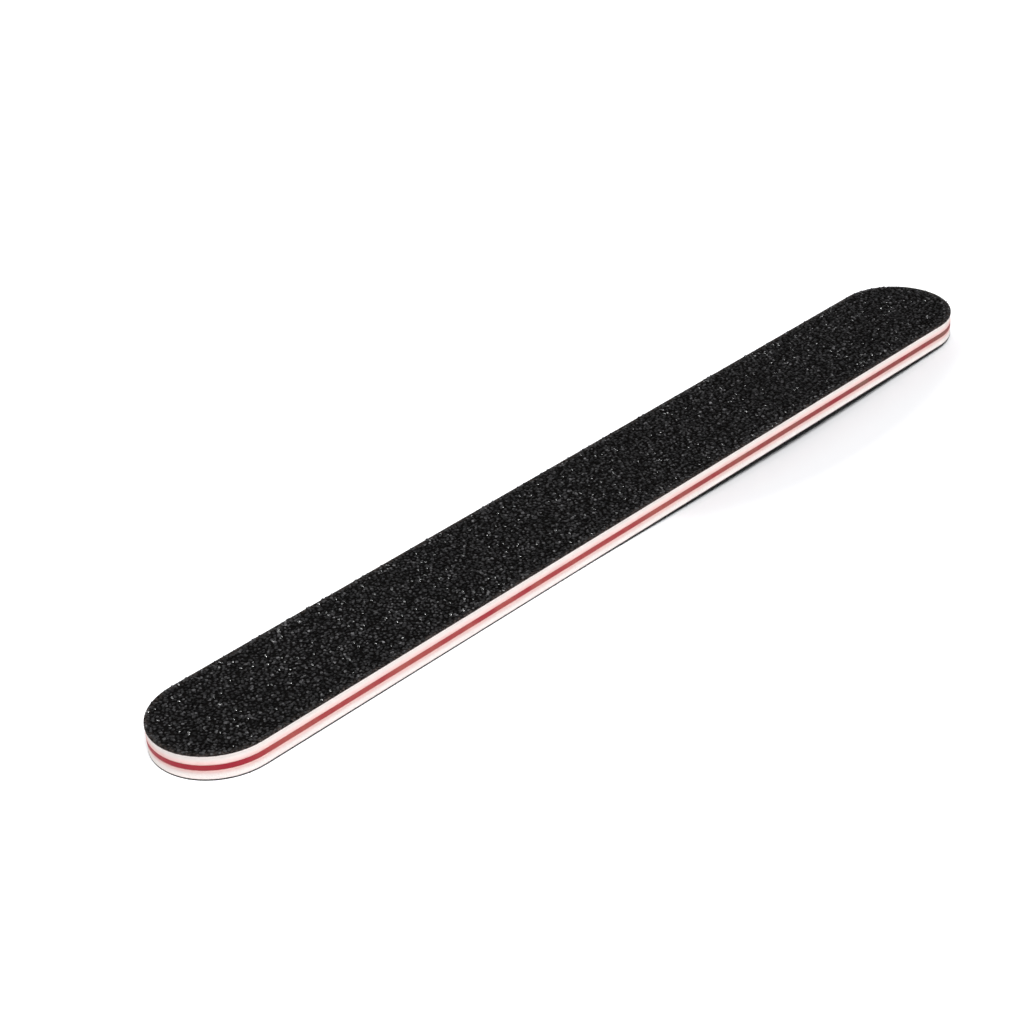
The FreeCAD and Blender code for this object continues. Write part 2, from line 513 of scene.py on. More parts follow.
white = add_node(
    tree,
    "ShaderNodeMix",
    {MIX_BY: tint.outputs[0], MIX_A: linear("#FAF0EC"), MIX_B: linear("#F6BDB8")},
    data_type="RGBA",
)
cells = add_node(tree, "ShaderNodeTexVoronoi", {"Vector": place, "Scale": scale_for(FOAM_CELL / 2)})
bump = add_node(
    tree,
    "ShaderNodeBump",
    {"Height": cells.outputs["Distance"], "Strength": 0.35, "Distance": 0.04 * MM},
)
shader = add_node(
    tree,
    "ShaderNodeBsdfPrincipled",
    {
        "Base Color": white.outputs[MIXED],
        "Roughness": 0.85,
        "IOR": 1.5,
        "Specular IOR Level": 0.25,
        "Normal": bump.outputs["Normal"],
    },
)
add_node(tree, "ShaderNodeOutputMaterial", {"Surface": shader.outputs["BSDF"]})
print("made", foam_white.name)

# %% [markdown]
# ## Foam cushions
# Foam gives way under a blade and springs back once it is through, so its cut edge ends up drawn in
# between the two films of glue that hold it. The profile is a shallow hollow between two narrow lands,
# whose depth wanders a little along the board. Onto it come the opened cells, round pits wherever a
# point of the edge lies inside a cell. A displacement modifier could do this too, but arrays keep the
# pits the same on every run and show how deep they are.

# %% Cut edge of the foam
FOAM_ROWS = 15
FOAM_LAND = 0.09 * MM
FOAM_DRAW_IN = 0.07 * MM
WANDER_SHARE = 0.25
WANDER_LENGTH = 7 * MM
PIT_DEPTH = 0.05 * MM
PIT_REACH = 0.55


def foam_edge(stations, height, seed):
    """Inset of a foam edge: a hollow, whose depth wanders, plus round pits.

    The hollow is its depth times one less q squared, where q runs from -1 to 1 between the lands. A
    pit is its depth times one less the squared distance to the cell's middle over the cell's reach.
    """
    points = edge_points(stations, height)
    middle = (height[0] + height[-1]) / 2
    half = (height[-1] - height[0]) / 2 - FOAM_LAND
    hollow = np.clip(1 - ((height - middle) / half) ** 2, 0, 1)
    wander = 1 + WANDER_SHARE * ripple(points, WANDER_LENGTH, seed)
    pits = np.clip(1 - (nearest_cell(points + seed * MM, FOAM_CELL) / PIT_REACH) ** 2, 0, 1)
    at_glue = np.clip(np.minimum(height - height[0], height[-1] - height) / FOAM_LAND, 0, 1)
    return FOAM_DRAW_IN * hollow * wander + PIT_DEPTH * pits * at_glue


height = np.linspace(*layer_span("upper_foam_layer"), FOAM_ROWS)
example = foam_edge(board_stations(2 * MM), height, seed=21)
print(f"foam edge drawn in by {example.mean() / MM:.3f} mm, and {example.max() / MM:.3f} mm at most")

# %% Upper and lower cushion
FOAM_STEP = 0.1 * MM
stations = board_stations(FOAM_STEP)
for side, seed in (("upper", 21), ("lower", 22)):
    inset = foam_edge(stations, height, seed)
    profile = close_profile(inset, height)
    cushion = layer_skin(f"{side}_foam_cut", stations, *profile, strips=16, lower=side == "lower")
    settle(cushion, "foam", foam_white, f"{side}_foam_layer")

# %% [markdown]
# ## Contact adhesive
# The four films of glue are only a twentieth of a millimetre thick, and the CAD layers already have
# the right shape, so they stay. Dried contact adhesive is a slightly cloudy, rubbery film. Beside the
# core it is pinkish, partly from red dust and partly as a painted reflection of the red. Under the
# paper it is nearly black.

# %% Material of the glue, and the four films
GLUE_SMEAR = 0.6 * MM


def contact_adhesive(name, darker, lighter):
    """A rubbery film, smeared between two shades, shinier where it is darker."""
    glue, tree = new_material(name)
    place = add_node(tree, "ShaderNodeTexCoord").outputs["Object"]
    smear = {"Vector": place, "Scale": scale_for(GLUE_SMEAR), "Detail": 4}
    streak = add_node(tree, "ShaderNodeTexNoise", smear).outputs["Fac"]
    shades = {MIX_BY: streak, MIX_A: linear(darker), MIX_B: linear(lighter)}
    colour = add_node(tree, "ShaderNodeMix", shades, data_type="RGBA")
    tack = add_node(tree, "ShaderNodeMapRange", {"Value": streak, "To Min": 0.35, "To Max": 0.6})
    bump = add_node(tree, "ShaderNodeBump", {"Height": streak, "Strength": 0.3, "Distance": 0.02 * MM})
    shader = add_node(
        tree,
        "ShaderNodeBsdfPrincipled",
        {
            "Base Color": colour.outputs[MIXED],
            "Roughness": tack.outputs["Result"],
            "IOR": 1.47,
            "Normal": bump.outputs["Normal"],
        },
    )
    add_node(tree, "ShaderNodeOutputMaterial", {"Surface": shader.outputs["BSDF"]})
    return glue


# Pink beside the core: partly red dust, partly a painted reflection of the red.
core_glue = contact_adhesive("contact_adhesive_pink", "#CE8C8A", "#E6BDB6")
paper_glue = contact_adhesive("contact_adhesive_dark", "#1D1715", "#3A2E2A")
for name in ("lower_core_adhesive", "upper_core_adhesive"):
    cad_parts[name].material_slots[0].material = core_glue
for name in ("lower_paper_adhesive", "upper_paper_adhesive"):
    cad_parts[name].material_slots[0].material = paper_glue
print("made", core_glue.name, "and", paper_glue.name)

# %% [markdown]
# ## Backing paper
# The grit sits on heavy paper that is soaked with latex, dark right through. Its cut edge is the dark
# line between the foam and the grains. Paper fibres tear a little instead of cutting clean, so the
# edge is fuzzy, and brownish where fibres lie open.

# %% Material of the paper
FIBRE = 0.12 * MM
paper_black, tree = new_material("latex_backing_paper")
place = add_node(tree, "ShaderNodeTexCoord").outputs["Object"]
fibres = add_node(tree, "ShaderNodeTexNoise", {"Vector": place, "Scale": scale_for(FIBRE), "Detail": 4})
dark = add_node(
    tree,
    "ShaderNodeMix",
    {MIX_BY: fibres.outputs["Fac"], MIX_A: linear("#14100E"), MIX_B: linear("#372C27")},
    data_type="RGBA",
)
bump = add_node(
    tree,
    "ShaderNodeBump",
    {"Height": fibres.outputs["Fac"], "Strength": 0.6, "Distance": 0.03 * MM},
)
shader = add_node(
    tree,
    "ShaderNodeBsdfPrincipled",
    {
        "Base Color": dark.outputs[MIXED],
        "Roughness": 0.8,
        "IOR": 1.5,
        "Specular IOR Level": 0.3,
        "Normal": bump.outputs["Normal"],
    },
)
add_node(tree, "ShaderNodeOutputMaterial", {"Surface": shader.outputs["BSDF"]})
print("made", paper_black.name)

# %% The two sheets
PAPER_STEP = 0.15 * MM
PAPER_ROWS = 4
TEAR_DEPTH = 0.012 * MM
TEAR_LENGTH = 0.3 * MM
TEAR_MEAN = 1.5
stations = board_stations(PAPER_STEP)
height = np.linspace(*layer_span("upper_backing_paper"), PAPER_ROWS)
for side, seed in (("upper", 31), ("lower", 32)):
    torn = TEAR_DEPTH * (TEAR_MEAN + ripple(edge_points(stations, height), TEAR_LENGTH, seed))
    profile = close_profile(torn, height)
    sheet = layer_skin(f"{side}_paper_cut", stations, *profile, strips=12, lower=side == "lower")
    settle(sheet, "paper", paper_black, f"{side}_backing_paper")

# %% [markdown]
# ## Phenolic bond coat
# The resin that holds the grains is dark brown to black phenolic, brushed on and baked hard. It fills
# the ground between the grains with a wavy skin. At the rim the blade has rolled it over, and towards
# the rim its colour is mixed with pale brownish flecks. The CAD layer is flat, so a skin with that
# relief replaces it. The same height function later tells each grain how deep to sit.

# %% Material of the resin
RESIN_FLOW = 0.5 * MM
RIM_FLECK = 0.4 * MM
resin, tree = new_material("phenolic_resin_black")
place = add_node(tree, "ShaderNodeTexCoord").outputs["Object"]
flow = add_node(
    tree,
    "ShaderNodeTexNoise",
    {"Vector": place, "Scale": scale_for(RESIN_FLOW), "Detail": 4},
)
ground = add_node(
    tree,
    "ShaderNodeMix",
    {MIX_BY: flow.outputs["Fac"], MIX_A: linear("#020202"), MIX_B: linear("#0C0A09")},
    data_type="RGBA",
)
rim = add_node(tree, "ShaderNodeAttribute", attribute_name="rim").outputs["Fac"]
rim_speckle = add_node(
    tree,
    "ShaderNodeTexNoise",
    {"Vector": place, "Scale": scale_for(RIM_FLECK), "Detail": 3},
)
flecks = add_node(
    tree,
    "ShaderNodeMapRange",
    {"Value": rim_speckle.outputs["Fac"], "From Min": 0.4, "From Max": 0.7},
)
at_rim = add_node(tree, "ShaderNodeMath", {0: rim, 1: flecks.outputs["Result"]}, operation="MULTIPLY")
# Pale brownish flecks, mixed in more the nearer the rim.
brown = add_node(
    tree,
    "ShaderNodeMix",
    {MIX_BY: at_rim.outputs[0], MIX_A: ground.outputs[MIXED], MIX_B: linear("#5C5451")},
    data_type="RGBA",
)
sheen = add_node(
    tree,
    "ShaderNodeMapRange",
    {"Value": flow.outputs["Fac"], "To Min": 0.35, "To Max": 0.65},
)
bump = add_node(
    tree,
    "ShaderNodeBump",
    {"Height": flow.outputs["Fac"], "Strength": 0.5, "Distance": 0.05 * MM},
)
shader = add_node(
    tree,
    "ShaderNodeBsdfPrincipled",
    {
        "Base Color": brown.outputs[MIXED],
        "Roughness": sheen.outputs["Result"],
        "IOR": 1.6,
        # Little gloss is left in the shade between the grains.
        "Specular IOR Level": 0.02,
        "Normal": bump.outputs["Normal"],
    },
)
add_node(tree, "ShaderNodeOutputMaterial", {"Surface": shader.outputs["BSDF"]})
print("made", resin.name)

# %% How high the resin stands
COAT_SEEDS = {"upper": 41, "lower": 42}
RESIN_WAVE = 0.7 * MM
RESIN_SWELL = 0.006 * MM
RESIN_DEPTH = 0.02 * MM
RIM_ROLL_WIDTH = 0.9 * MM
RIM_ROLL_DROP = 0.02 * MM
coat_low = layer_span("upper_bond_coat")[0]


def distance_to_rim(flat):
    """How far inside the outline a place lies: the end radius less its distance to the middle line."""
    along = np.clip(flat[..., 0], -STRAIGHT_RUN / 2, STRAIGHT_RUN / 2)
    return END_RADIUS - np.hypot(flat[..., 0] - along, flat[..., 1])


def resin_level(flat, seed):
    """Height of the resin over a place: flat, plus waves, less the roll at the rim.

    The roll's drop is the square of how far the place lies within the rolled width.
    """
    rolled = np.clip(1 - distance_to_rim(flat) / RIM_ROLL_WIDTH, 0, 1) ** 2
    spot = np.concatenate([flat, np.zeros_like(flat[..., :1])], axis=-1)
    return coat_low + RESIN_DEPTH + RESIN_SWELL * ripple(spot, RESIN_WAVE, seed) - RIM_ROLL_DROP * rolled


centre_level = resin_level(np.zeros((1, 2)), COAT_SEEDS["upper"])[0]
print(f"resin at the centre of the upper face: z {centre_level / MM:.3f} mm")

# %% The two coats
COAT_STEP = 0.3 * MM
COAT_ROWS = 34
COAT_LEAST = 0.005 * MM


def mark_rim(piece):
    """Stores on each point how near the rim it lies: 1 at the rim, 0 from the rolled width inwards."""
    points = np.empty(len(piece.data.vertices) * 3, dtype=np.float32)
    piece.data.vertices.foreach_get("co", points)
    nearness = np.clip(1 - distance_to_rim(points.reshape(-1, 3)[:, :2]) / RIM_ROLL_WIDTH, 0, 1)
    marks = piece.data.attributes.new("rim", "FLOAT", "POINT")
    marks.data.foreach_set("value", nearness.astype(np.float32))


# The underside takes two points, at the middle line and at the rim. The other rows are the top.
stations = board_stations(COAT_STEP)
underside = [END_RADIUS, 0]
to_middle = np.concatenate([underside, np.linspace(0, END_RADIUS, COAT_ROWS)])
inset = np.tile(to_middle, (len(stations[0]), 1))
spots = stations[0][:, None, :] + stations[1][:, None, :] * (END_RADIUS - inset)[:, :, None]
for side, seed in COAT_SEEDS.items():
    height = np.maximum(resin_level(spots, seed), coat_low + COAT_LEAST)
    height[:, : len(underside)] = coat_low
    coat = layer_skin(f"{side}_resin_coat", stations, inset, height, strips=4, lower=side == "lower")
    mark_rim(coat)
    settle(coat, "bond", resin, f"{side}_bond_coat")

# %% [markdown]
# ## Silicon carbide
# The grit is crushed silicon carbide, black and glassy, with flat fracture faces. Most grains wear a
# thin coat of the same resin, which dulls them. A few have broken or lost their coat, and their bare
# faces flash, because silicon carbide bends light more than diamond: its index is 2.65. Every grain
# has its own tone at its crown, which is partly the grain's own and partly a painted sheen of its
# faces, and is black at its foot, which is painted shade between the grains. The mesh carries the
# tone as an attribute.

# %% Material of the coated grains
FRACTURE = 0.11 * MM
coated, tree = new_material("silicon_carbide_resin_coated")
place = add_node(tree, "ShaderNodeTexCoord").outputs["Object"]
tone = add_node(tree, "ShaderNodeAttribute", attribute_name="tone").outputs["Fac"]
fracture = add_node(
    tree,
    "ShaderNodeTexNoise",
    {"Vector": place, "Scale": scale_for(FRACTURE), "Detail": 2},
)
# Tone 0 at the foot is painted shade between the grains; the paler crowns are partly painted sheen.
grey = add_node(
    tree,
    "ShaderNodeMix",
    {MIX_BY: tone, MIX_A: linear("#030303"), MIX_B: linear("#8C8B8D")},
    data_type="RGBA",
)
sheen = add_node(
    tree,
    "ShaderNodeMapRange",
    {"Value": fracture.outputs["Fac"], "To Min": 0.25, "To Max": 0.45},
)
bump = add_node(
    tree,
    "ShaderNodeBump",
    {"Height": fracture.outputs["Fac"], "Strength": 0.5, "Distance": 0.006 * MM},
)
shader = add_node(
    tree,
    "ShaderNodeBsdfPrincipled",
    {
        "Base Color": grey.outputs[MIXED],
        "Roughness": sheen.outputs["Result"],
        "IOR": 1.6,
        # Real grains are finer and shade each other, so these coarser ones get little gloss.
        "Specular IOR Level": 0.03,
        "Normal": bump.outputs["Normal"],
    },
)
add_node(tree, "ShaderNodeOutputMaterial", {"Surface": shader.outputs["BSDF"]})
print("made", coated.name)

# %% Material of the bare grains
bare, tree = new_material("silicon_carbide_bare")
tone = add_node(tree, "ShaderNodeAttribute", attribute_name="tone").outputs["Fac"]
# The bare grains are darker at the foot too: painted shade between the grains.
grey = add_node(
    tree,
    "ShaderNodeMix",
    {MIX_BY: tone, MIX_A: linear("#121314"), MIX_B: linear("#2C2D2F")},
    data_type="RGBA",
)
polish = add_node(tree, "ShaderNodeMapRange", {"Value": tone, "To Min": 0.08, "To Max": 0.25})
shader = add_node(
    tree,
    "ShaderNodeBsdfPrincipled",
    {"Base Color": grey.outputs[MIXED], "Roughness": polish.outputs["Result"], "IOR": 2.65},
)
add_node(tree, "ShaderNodeOutputMaterial", {"Surface": shader.outputs["BSDF"]})
print("made", bare.name)

# %% [markdown]
# ## Grains
# Each grain is a five-sided stump: a ring of corners sunk in the resin and a smaller, tilted ring on
# top. Instancing one stump would repeat it visibly, so all stumps are cut at once as one array with a
# corner axis, each with its own size, turn, lean and tilt. Real grains of this grade are about half
# as wide. They are drawn coarser, so that single grains still show at this distance, as the clumps of
# real ones do.
#
# The grains stand on a hexagonal grid, each moved at random. The blade crushed the outermost ones, so
# they thin out at the rim, and what would overhang it is sheared back to the outline. No tip stands
# higher than the CAD layer's face, because that is the face that the board lies on.

# %% Where the grains stand
GRAIN_PITCH = 0.62 * MM
GRAIN_STRAY = 0.36
RIM_BARE = 0.03 * MM
RIM_THIN = 0.40 * MM


def grain_places(rng):
    """Places of the grains: a hexagonal grid, each place moved at random by a share of the pitch.

    The chance that a grain is there rises evenly from none at the bare rim to one.
    """
    row_gap = GRAIN_PITCH * math.sqrt(3) / 2
    columns = np.arange(-BOARD_LENGTH / 2, BOARD_LENGTH / 2, GRAIN_PITCH)
    rows = np.arange(-END_RADIUS, END_RADIUS, row_gap)
    x, y = np.meshgrid(columns, rows)
    x[1::2] += GRAIN_PITCH / 2
    places = np.stack([x, y], axis=2).reshape(-1, 2)
    places += rng.uniform(-1, 1, places.shape) * GRAIN_STRAY * GRAIN_PITCH
    chance = (distance_to_rim(places) - RIM_BARE) / RIM_THIN
    return places[rng.uniform(size=len(places)) < chance]


places = grain_places(np.random.default_rng(51))
print(f"{len(places)} grains on one face")

# %% Corners of a stump
GRAIN_SIDES = 5
around = np.arange(GRAIN_SIDES)
after = (around + 1) % GRAIN_SIDES
STUMP_SIDES = np.stack([around, after, GRAIN_SIDES + after, GRAIN_SIDES + around], axis=1)
STUMP_CORNERS = np.concatenate([STUMP_SIDES.ravel(), GRAIN_SIDES + around, around[::-1]])
STUMP_COUNTS = np.array([QUAD] * GRAIN_SIDES + [GRAIN_SIDES, GRAIN_SIDES])
STUMP_TRIANGLES = int((STUMP_COUNTS - 2).sum())
print(f"a stump has {len(STUMP_COUNTS)} faces, which are {STUMP_TRIANGLES} triangles")

# %% Cut the stumps
GRAIN_WIDTH = (0.40, 0.64)
CORNER_STRAY = 0.28
CROWN_SHARE = (0.45, 0.85)
CROWN_ASIDE = 0.1
GRAIN_SINK = 0.015 * MM
GRAIN_RISE = 0.14 * MM
RISE_SHARE = (0.5, 1.2)
GRAIN_SLOPE = 0.35


def shear_at_rim(flat):
    """Moves what lies outside the outline straight back to it, as the blade shears grains there.

    The share kept of the way from the middle line is the end radius over that way, or one inside.
    """
    along = np.clip(flat[..., :1], -STRAIGHT_RUN / 2, STRAIGHT_RUN / 2)
    middle = np.concatenate([along, np.zeros_like(along)], axis=-1)
    way = np.linalg.norm(flat - middle, axis=-1, keepdims=True)
    return middle + (flat - middle) * (END_RADIUS / np.maximum(way, END_RADIUS))


def cut_stumps(places, rng, seed):
    """Points of all stumps, as grain, corner, coordinate: the sunk ring first and then the top ring.

    The top ring is the sunk one shrunk and moved aside, and its height is the resin's plus the rise
    plus the slope times the way from the grain's middle, but never more than the board's top.
    """
    count = len(places)
    spread = rng.uniform(-CORNER_STRAY, CORNER_STRAY, (count, GRAIN_SIDES))
    angle = rng.uniform(0, 2 * math.pi, (count, 1)) + (around + spread) * 2 * math.pi / GRAIN_SIDES
    ring = np.stack([np.cos(angle), np.sin(angle)], axis=2)
    width = GRAIN_PITCH * rng.uniform(*GRAIN_WIDTH, (count, 1, 1))
    foot = ring * width
    aside = rng.normal(0, CROWN_ASIDE, (count, 1, 2))
    crown = (ring * rng.uniform(*CROWN_SHARE, (count, 1, 1)) + aside) * width
    slope = rng.normal(0, GRAIN_SLOPE, (count, 1, 2))
    level = resin_level(places, seed)[:, None]
    rise = GRAIN_RISE * rng.uniform(*RISE_SHARE, (count, 1))
    crown_height = np.minimum(level + rise + (crown * slope).sum(axis=2), BOARD_TOP)
    foot_height = np.broadcast_to(level - GRAIN_SINK, crown_height.shape)
    flat = shear_at_rim(np.concatenate([foot, crown], axis=1) + places[:, None, :])
    tall = np.concatenate([foot_height, crown_height], axis=1)
    return np.concatenate([flat, tall[:, :, None]], axis=2)


example = cut_stumps(places, np.random.default_rng(1), COAT_SEEDS["upper"])
print(f"highest tip at z {example[:, :, 2].max() / MM:.3f} mm, board's top at {BOARD_TOP / MM:.3f} mm")

# %% One piece from many stumps
TILE_MARGIN = 0.03
TOPS_SPAN = 0.97
FEET_FROM, FEET_SPAN = 0.975, 0.02


def stump_map(points, tiles):
    """Bake map of stumps: seen from above, with the piece's length cut into tiles by tiles squares.

    A grain goes to the tile that its middle lies in. The sunk undersides share one strip at the edge.
    """
    low = points[:, :, 0].min()
    share = (points[:, :, 0] - low) / (points[:, :, 0].max() - low) * tiles**2
    tile = np.clip(np.floor(share.mean(axis=1, keepdims=True)), 0, tiles**2 - 1)
    inside = 1 - 2 * TILE_MARGIN
    in_tile = TILE_MARGIN + inside * (share - tile)
    over = TILE_MARGIN + inside * (points[:, :, 1] + END_RADIUS) / BOARD_WIDTH
    u = (tile % tiles + in_tile) / tiles
    v = TOPS_SPAN * (tile // tiles + over) / tiles
    uv = np.stack([u, v], axis=2)[:, STUMP_CORNERS]
    uv[:, -GRAIN_SIDES:, 1] = FEET_FROM + FEET_SPAN * uv[:, -GRAIN_SIDES:, 1]
    return uv


def grain_piece(name, points, tone, tiles):
    """One piece from many stumps, with each stump's tone on its points."""
    count, per_grain = points.shape[:2]
    corners = np.arange(count)[:, None] * per_grain + STUMP_CORNERS
    uv = stump_map(points, tiles)
    piece = new_piece(name, points.reshape(-1, 3), corners.ravel(), np.tile(STUMP_COUNTS, count), uv)
    tones = piece.data.attributes.new("tone", "FLOAT", "POINT")
    tones.data.foreach_set("value", tone.astype(np.float32).ravel())
    print(f"{name}: {count} grains, {count * STUMP_TRIANGLES} triangles")
    return piece


print(f"the tops take {TOPS_SPAN:.0%} of the bake map, and the undersides {FEET_SPAN:.0%}")

# %% [markdown]
# Both faces get their grains in three pieces: the coated grains of the west half, those of the east
# half, and the few bare ones. Splitting at the middle keeps each piece small enough to handle. The
# crowns' tones are drawn at random, the feet stay black as painted shade, and a little grey is added
# near the rim.

# %% Grains on both faces
BARE_SHARE = 0.04
TONE_MIDDLE = 0.070
TONE_SPREAD = 0.60
TONE_FLECK = 0.58
TONE_NEAR_RIM = 0.08
NEAR_RIM_REACH = 2.0 * MM


def grain_tones(places, rng):
    """Tones of all stumps' points: none at the foot, as painted shade between the grains, and at the
    crown the grain's own times a fleck's, partly a painted sheen.

    Onto both comes a little grey near the rim: the square of how far the grain lies within its reach.
    """
    count = len(places)
    own = rng.lognormal(math.log(TONE_MIDDLE), TONE_SPREAD, (count, 1))
    fleck = rng.lognormal(0, TONE_FLECK, (count, GRAIN_SIDES))
    # The feet get no tone, as painted shade between the grains; the crowns get a partly painted sheen.
    clean = np.concatenate([np.zeros_like(fleck), own * fleck], axis=1)
    # A little grey near the rim, growing with the square of nearness.
    dust = TONE_NEAR_RIM * np.clip(1 - distance_to_rim(places) / NEAR_RIM_REACH, 0, 1)[:, None] ** 2
    return np.clip(clean + dust, 0, 1)


for side, seed in (("upper", 51), ("lower", 52)):
    rng = np.random.default_rng(seed)
    places = grain_places(rng)
    stumps = cut_stumps(places, rng, COAT_SEEDS[side])
    stumps = stumps if side == "upper" else turn_over(stumps)
    tone = grain_tones(places, rng)
    is_bare = rng.uniform(size=len(places)) < BARE_SHARE
    is_west = places[:, 0] < 0
    in_west, in_east = ~is_bare & is_west, ~is_bare & ~is_west
    west = grain_piece(f"{side}_grains_west", stumps[in_west], tone[in_west], tiles=2)
    east = grain_piece(f"{side}_grains_east", stumps[in_east], tone[in_east], tiles=2)
    flashing = grain_piece(f"{side}_grains_bare", stumps[is_bare], tone[is_bare], tiles=3)
    settle(west, "grit", coated, f"{side}_grit_layer")
    settle(east, "grit", coated)
    settle(flashing, "grit", bare)

# %% [markdown]
# ## Table
# The board lies on a white table. The table's cover is soft, so the lower grains bite into it a little
# and the board's edge comes down close to it. Under the east half it sinks to a shallow hollow, which
# leaves a dark gap below the board there.
#
# The table is white to the eye, not by flooding the board with light: it glows a little for rays that
# come straight from the camera or by way of a reflection, and keeps its real shade for all others. It
# doesn't glow under the board's straight run, and hardly beside the east half, where the glow is held
# back in a soft patch that paints a shade on the table. Far off, where the lamps hardly reach, it glows
# more, so that it meets the white surroundings unseen.

# %% Where the table glows
FLOOR_GLOW, FAR_GLOW = 0.45, 1.0
FAR_FROM, FAR_TO = 0.4, 1.0
SHADOW_PLACE = (44 * MM, -10 * MM)
SHADOW_REACH = (58 * MM, 16 * MM)
SHADOW_FADE = 0.5
floor_paint, tree = new_material("table_white")
place = add_node(tree, "ShaderNodeTexCoord").outputs["Object"]
scale = (1 / SHADOW_REACH[0], 1 / SHADOW_REACH[1], 1)
shift = (-SHADOW_PLACE[0] * scale[0], -SHADOW_PLACE[1] * scale[1], 0)
# Beside the east half the glow fades out in a soft patch: painted shade on the table.
beside = add_node(tree, "ShaderNodeMapping", {"Vector": place, "Location": shift, "Scale": scale})
painted_shade_patch = add_node(tree, "ShaderNodeTexGradient", {"Vector": beside.outputs[0]}, gradient_type="SPHERICAL")
glow_outside_painted_shade = add_node(
    tree,
    "ShaderNodeMapRange",
    {"Value": painted_shade_patch.outputs["Fac"], "From Max": SHADOW_FADE, "To Min": 1.0, "To Max": 0.0},
    interpolation_type="SMOOTHERSTEP",
)
spot = add_node(tree, "ShaderNodeSeparateXYZ", {"Vector": place}).outputs
along = add_node(tree, "ShaderNodeMath", {0: spot["X"]}, operation="ABSOLUTE").outputs[0]
across = add_node(tree, "ShaderNodeMath", {0: spot["Y"]}, operation="ABSOLUTE").outputs[0]
past_end = add_node(tree, "ShaderNodeMath", {0: along, 1: STRAIGHT_RUN / 2}, operation="GREATER_THAN")
past_side = add_node(tree, "ShaderNodeMath", {0: across, 1: END_RADIUS}, operation="GREATER_THAN")
uncovered = add_node(
    tree,
    "ShaderNodeMath",
    {0: past_end.outputs[0], 1: past_side.outputs[0]},
    operation="MAXIMUM",
)
open_shine = add_node(
    tree,
    "ShaderNodeMath",
    {0: glow_outside_painted_shade.outputs["Result"], 1: uncovered.outputs[0]},
    operation="MULTIPLY",
)
way_off = add_node(tree, "ShaderNodeVectorMath", {0: place}, operation="LENGTH").outputs["Value"]
whiteness = add_node(
    tree,
    "ShaderNodeMapRange",
    {
        "Value": way_off,
        "From Min": FAR_FROM,
        "From Max": FAR_TO,
        "To Min": FLOOR_GLOW,
        "To Max": FAR_GLOW,
    },
)
glowing = add_node(
    tree,
    "ShaderNodeMath",
    {0: open_shine.outputs[0], 1: whiteness.outputs["Result"]},
    operation="MULTIPLY",
)
print(f"the table glows by {FLOOR_GLOW} near the board and by {FAR_GLOW} from {FAR_TO:.0f} m on")

# %% Material of the table
MOTTLE = 200 * MM
mottle = add_node(tree, "ShaderNodeTexNoise", {"Vector": place, "Scale": scale_for(MOTTLE), "Detail": 2})
shade = add_node(
    tree,
    "ShaderNodeMix",
    {MIX_BY: mottle.outputs["Fac"], MIX_A: linear("#E1E2E4"), MIX_B: linear("#E4E5E7")},
    data_type="RGBA",
)
diffuse = add_node(tree, "ShaderNodeBsdfDiffuse", {"Color": shade.outputs[MIXED]})
path = add_node(tree, "ShaderNodeLightPath")
straight_or_glossy = add_node(
    tree,
    "ShaderNodeMath",
    {0: path.outputs["Is Camera Ray"], 1: path.outputs["Is Glossy Ray"]},
    operation="MAXIMUM",
)
seen = add_node(
    tree,
    "ShaderNodeMath",
    {0: straight_or_glossy.outputs[0], 1: path.outputs["Is Transmission Ray"]},
    operation="MAXIMUM",
)
strength = add_node(
    tree,
    "ShaderNodeMath",
    {0: seen.outputs[0], 1: glowing.outputs[0]},
    operation="MULTIPLY",
)
glow = add_node(tree, "ShaderNodeEmission", {"Strength": strength.outputs[0]})
both = add_node(tree, "ShaderNodeAddShader", {0: diffuse.outputs[0], 1: glow.outputs[0]})
add_node(tree, "ShaderNodeOutputMaterial", {"Surface": both.outputs[0]})
print("made", floor_paint.name)

# %% Floor
FLOOR_SIDE = 6.0
FINE_REACH = 0.1
FINE_COLUMNS = 81
GRAIN_BITE = 0.10 * MM
HOLLOW_DEPTH = 1.5 * MM
HOLLOW_PLACE = 43 * MM
HOLLOW_REACH = 63 * MM


def floor_level(x):
    """Height of the table: the grains' bite, less a hollow that falls and rises as a squared cosine."""
    off = np.clip((x - HOLLOW_PLACE) / HOLLOW_REACH, -1, 1)
    return GRAIN_BITE - (GRAIN_BITE + HOLLOW_DEPTH) * np.cos(off * math.pi / 2) ** 2


half = FLOOR_SIDE / 2
fine = np.linspace(-FINE_REACH, FINE_REACH, FINE_COLUMNS)
columns = np.concatenate([[-half], fine, [half]])
rows = np.array([-half, half])
x, y = np.meshgrid(columns, rows)
floor_points = np.stack([x, y, floor_level(x)], axis=2).reshape(-1, 3)
first = np.arange(len(columns) - 1)
floor_faces = np.stack([first, first + 1, first + 1 + len(columns), first + len(columns)], axis=1)
floor_mesh = bpy.data.meshes.new("floor")
floor_mesh.from_pydata(floor_points, [], floor_faces)
floor_mesh.materials.append(floor_paint)
floor_mesh.shade_smooth()
floor = bpy.data.objects.new("floor", floor_mesh)
bpy.context.scene.collection.objects.link(floor)
print(f"floor {FLOOR_SIDE:.0f} m square, {floor_points[:, 2].min() / MM:.2f} mm at its lowest")

# %% [markdown]
# ## Light
# The light is soft. The main lamp hangs high in front, where it reaches the cut edge but not far under
# the board. A weaker one behind throws the shade to the front, and one on the left lifts the round end.
# Each lamp's strength is given as how bright a white card that faces it would be, and its watts follow
# from that: watts are the level times pi squared times the squared distance.
#
# The surroundings are white where the camera sees them, and give only a faint light to all else.


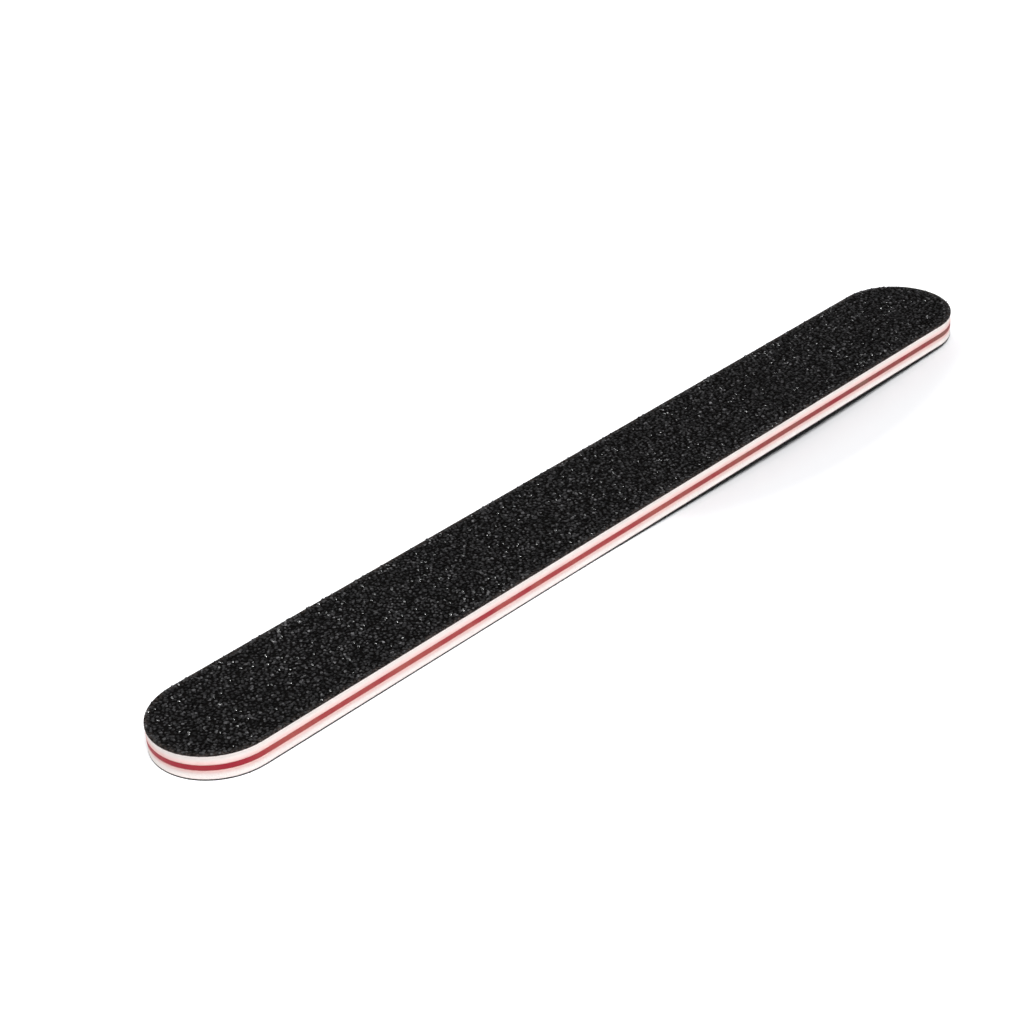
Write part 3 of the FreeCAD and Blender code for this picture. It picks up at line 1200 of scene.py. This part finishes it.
# %% Lamps
def add_softbox(name, place, size, level):
    """A square lamp that faces the board and lights a white card there to this level."""
    lamp = bpy.data.lights.new(name, "AREA")
    lamp.shape = "SQUARE"
    lamp.size = size
    away = Vector(place)
    lamp.energy = level * math.pi**2 * away.length_squared
    holder = bpy.data.objects.new(name, lamp)
    holder.matrix_world = Matrix.Translation(away) @ away.to_track_quat("Z", "Y").to_matrix().to_4x4()
    bpy.context.scene.collection.objects.link(holder)
    print(f"{name}: {lamp.energy:.2f} W at {away.length:.2f} m")


add_softbox("lamp_behind", (0.11, 0.82, 0.72), size=1.2, level=0.3)
add_softbox("lamp_front", (-0.16, -0.50, 1.0), size=0.5, level=1.14)
add_softbox("lamp_left", (-0.9, 0.5, 0.5), size=0.8, level=0.25)

# %% Surroundings
WORLD_LEVEL = 0.08
world = bpy.data.worlds.new("studio")
world.use_nodes = True
tree = world.node_tree
tree.nodes.clear()
path = add_node(tree, "ShaderNodeLightPath")
level = add_node(
    tree,
    "ShaderNodeMapRange",
    {"Value": path.outputs["Is Camera Ray"], "To Min": WORLD_LEVEL, "To Max": 1.0},
)
light = {"Color": linear("#FFFFFF"), "Strength": level.outputs["Result"]}
sky = add_node(tree, "ShaderNodeBackground", light)
add_node(tree, "ShaderNodeOutputWorld", {"Surface": sky.outputs["Background"]})
bpy.context.scene.world = world
print(f"{world.name}: white to the camera, {WORLD_LEVEL} as light")

# %% [markdown]
# ## Camera
# The camera stands in front of the west end and looks along the board, a hand's length above it, with
# a slight roll. Its place is given as an azimuth, an elevation and a distance from the point of the
# top face that the middle of the picture shows. Its axes follow from these: it looks along minus Z,
# X points right, and the roll turns X and Y about the line of sight.

# %% Camera
AZIMUTH = math.radians(-44.09)
ELEVATION = math.radians(30.39)
ROLL = math.radians(-4.17)
DISTANCE = 366.45 * MM
LENS, SENSOR = 82.60, 36.0  # millimetres; the sensor is square
AIM = Vector((-14.49 * MM, 5.02 * MM, BOARD_TOP))

back = Vector(
    (
        math.sin(AZIMUTH) * math.cos(ELEVATION),
        -math.cos(AZIMUTH) * math.cos(ELEVATION),
        math.sin(ELEVATION),
    )
)
level_right = Vector((0, 0, 1)).cross(back).normalized()
level_up = back.cross(level_right)
right = math.cos(ROLL) * level_right + math.sin(ROLL) * level_up
up = math.cos(ROLL) * level_up - math.sin(ROLL) * level_right
camera_data = bpy.data.cameras.new("camera")
camera_data.lens = LENS
camera_data.sensor_width = SENSOR
camera = bpy.data.objects.new("camera", camera_data)
axes = Matrix((right, up, back)).transposed().to_4x4()
camera.matrix_world = Matrix.Translation(AIM + back * DISTANCE) @ axes
bpy.context.scene.collection.objects.link(camera)
bpy.context.scene.camera = camera
bpy.context.scene.view_settings.view_transform = "Standard"
print("camera at", [round(c, 4) for c in camera.matrix_world.translation])
